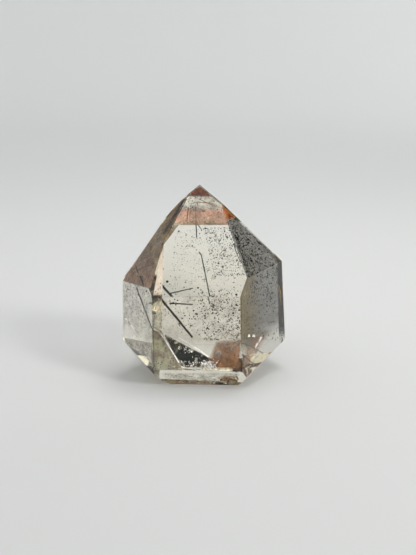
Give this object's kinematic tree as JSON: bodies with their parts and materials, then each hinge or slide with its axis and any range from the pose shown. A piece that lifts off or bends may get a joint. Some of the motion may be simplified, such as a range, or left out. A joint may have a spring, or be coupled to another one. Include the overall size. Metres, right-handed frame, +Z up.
{
  "type": "rutilated quartz tower",
  "caption": "Clear quartz point standing on a flat ground base, six-sided with a slanted tip, holding dark needles, specks and an old healed crack.",
  "frame": {"origin": "On the flat base, under the middle of the stone's bounding box.", "axes": "+Z up through the tip, -Y toward the broad front face, +X to the right of it."},
  "size_m": [0.0294, 0.0234, 0.0334],
  "materials": {
    "clear_quartz": "Natural and polished crystal faces, glossy and clear, with a faint smoky cream tint.",
    "dark_needles": "Mineral needles and specks grown inside the quartz, near black with a dull lustre.",
    "golden_needles": "Fine rutile hairs inside the quartz, copper to gold, silky.",
    "moss_specks": "Small clumps of brown and olive mineral grains inside the quartz, dull.",
    "healed_crack": "Old internal cracks in the quartz, silvery and crackled, dark where nothing bright is mirrored."
  },
  "bodies": {
    "root": {"quartz_tower": "clear_quartz"}
  },
  "joints": []
}
